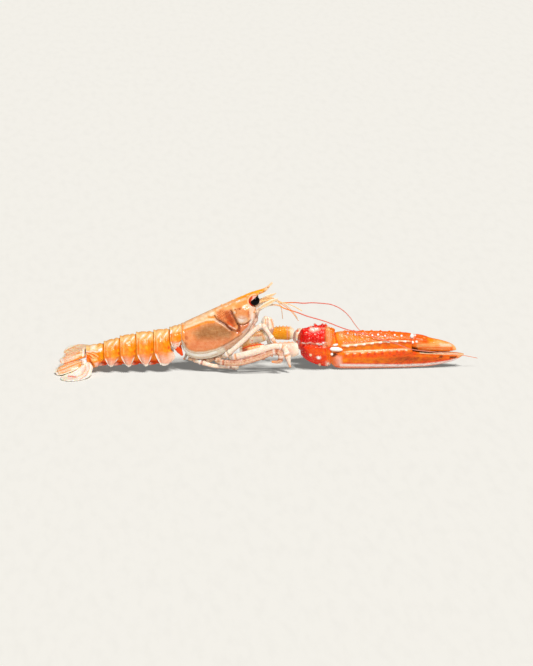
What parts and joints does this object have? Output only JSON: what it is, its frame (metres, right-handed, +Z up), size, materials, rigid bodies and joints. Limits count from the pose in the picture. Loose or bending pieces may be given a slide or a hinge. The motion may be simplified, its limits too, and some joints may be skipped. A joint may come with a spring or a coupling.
{
  "type": "raw langoustine",
  "caption": "Whole raw langoustine lying on its belly, claws stretched forward, tail fan spread behind and long feelers arching over the claws.",
  "frame": {"origin": "on the ground, under the middle of the whole animal's bounding box", "axes": "+X from the tail towards the claw tips, +Y towards the animal's left, +Z up"},
  "size_m": [0.3558, 0.0758, 0.0737],
  "materials": {
    "shell_back": "satin shell",
    "shell_tail": "satin shell",
    "shell_fan": "satin shell",
    "shell_claw": "satin shell",
    "shell_red": "satin shell",
    "shell_leg": "satin shell",
    "shell_under": "soft satin",
    "feeler": "satin",
    "eye": "gloss"
  },
  "bodies": {
    "root": {"carapace": "shell_back", "eye_near": "eye", "eye_far": "eye", "eyestalk_near": "shell_red", "eyestalk_far": "shell_red", "abdomen_ring_1": "shell_tail", "abdomen_ring_2": "shell_tail", "abdomen_ring_3": "shell_tail", "abdomen_ring_4": "shell_tail", "abdomen_ring_5": "shell_tail", "abdomen_ring_6": "shell_tail", "telson": "shell_fan", "uropod_base_near": "shell_fan", "uropod_inner_near": "shell_fan", "uropod_outer_near": "shell_fan", "uropod_base_far": "shell_fan", "uropod_inner_far": "shell_fan", "uropod_outer_far": "shell_fan", "antenna_scale_near": "shell_leg", "antennule_near": "feeler", "antenna_near": "feeler", "antenna_scale_far": "shell_leg", "antennule_far": "feeler", "antenna_far": "feeler", "mouthparts": "shell_under", "sternum": "shell_under", "maxilliped_near": "shell_leg", "maxilliped_far": "shell_leg", "swimmeret_2_near": "shell_under", "swimmeret_3_near": "shell_under", "swimmeret_4_near": "shell_under", "swimmeret_5_near": "shell_under", "swimmeret_2_far": "shell_under", "swimmeret_3_far": "shell_under", "swimmeret_4_far": "shell_under", "swimmeret_5_far": "shell_under", "leg_1_near": "shell_leg", "leg_2_near": "shell_leg", "leg_3_near": "shell_leg", "leg_4_near": "shell_leg", "leg_1_far": "shell_leg", "leg_2_far": "shell_leg", "leg_3_far": "shell_leg", "leg_4_far": "shell_leg", "claw_ischium_near": "shell_leg", "claw_merus_near": "shell_leg", "claw_carpus_near": "shell_red", "claw_propodus_near": "shell_claw", "claw_dactyl_near": "shell_claw", "claw_ischium_far": "shell_leg", "claw_merus_far": "shell_claw", "claw_carpus_far": "shell_red", "claw_propodus_far": "shell_claw", "claw_dactyl_far": "shell_claw"}
  },
  "joints": []
}
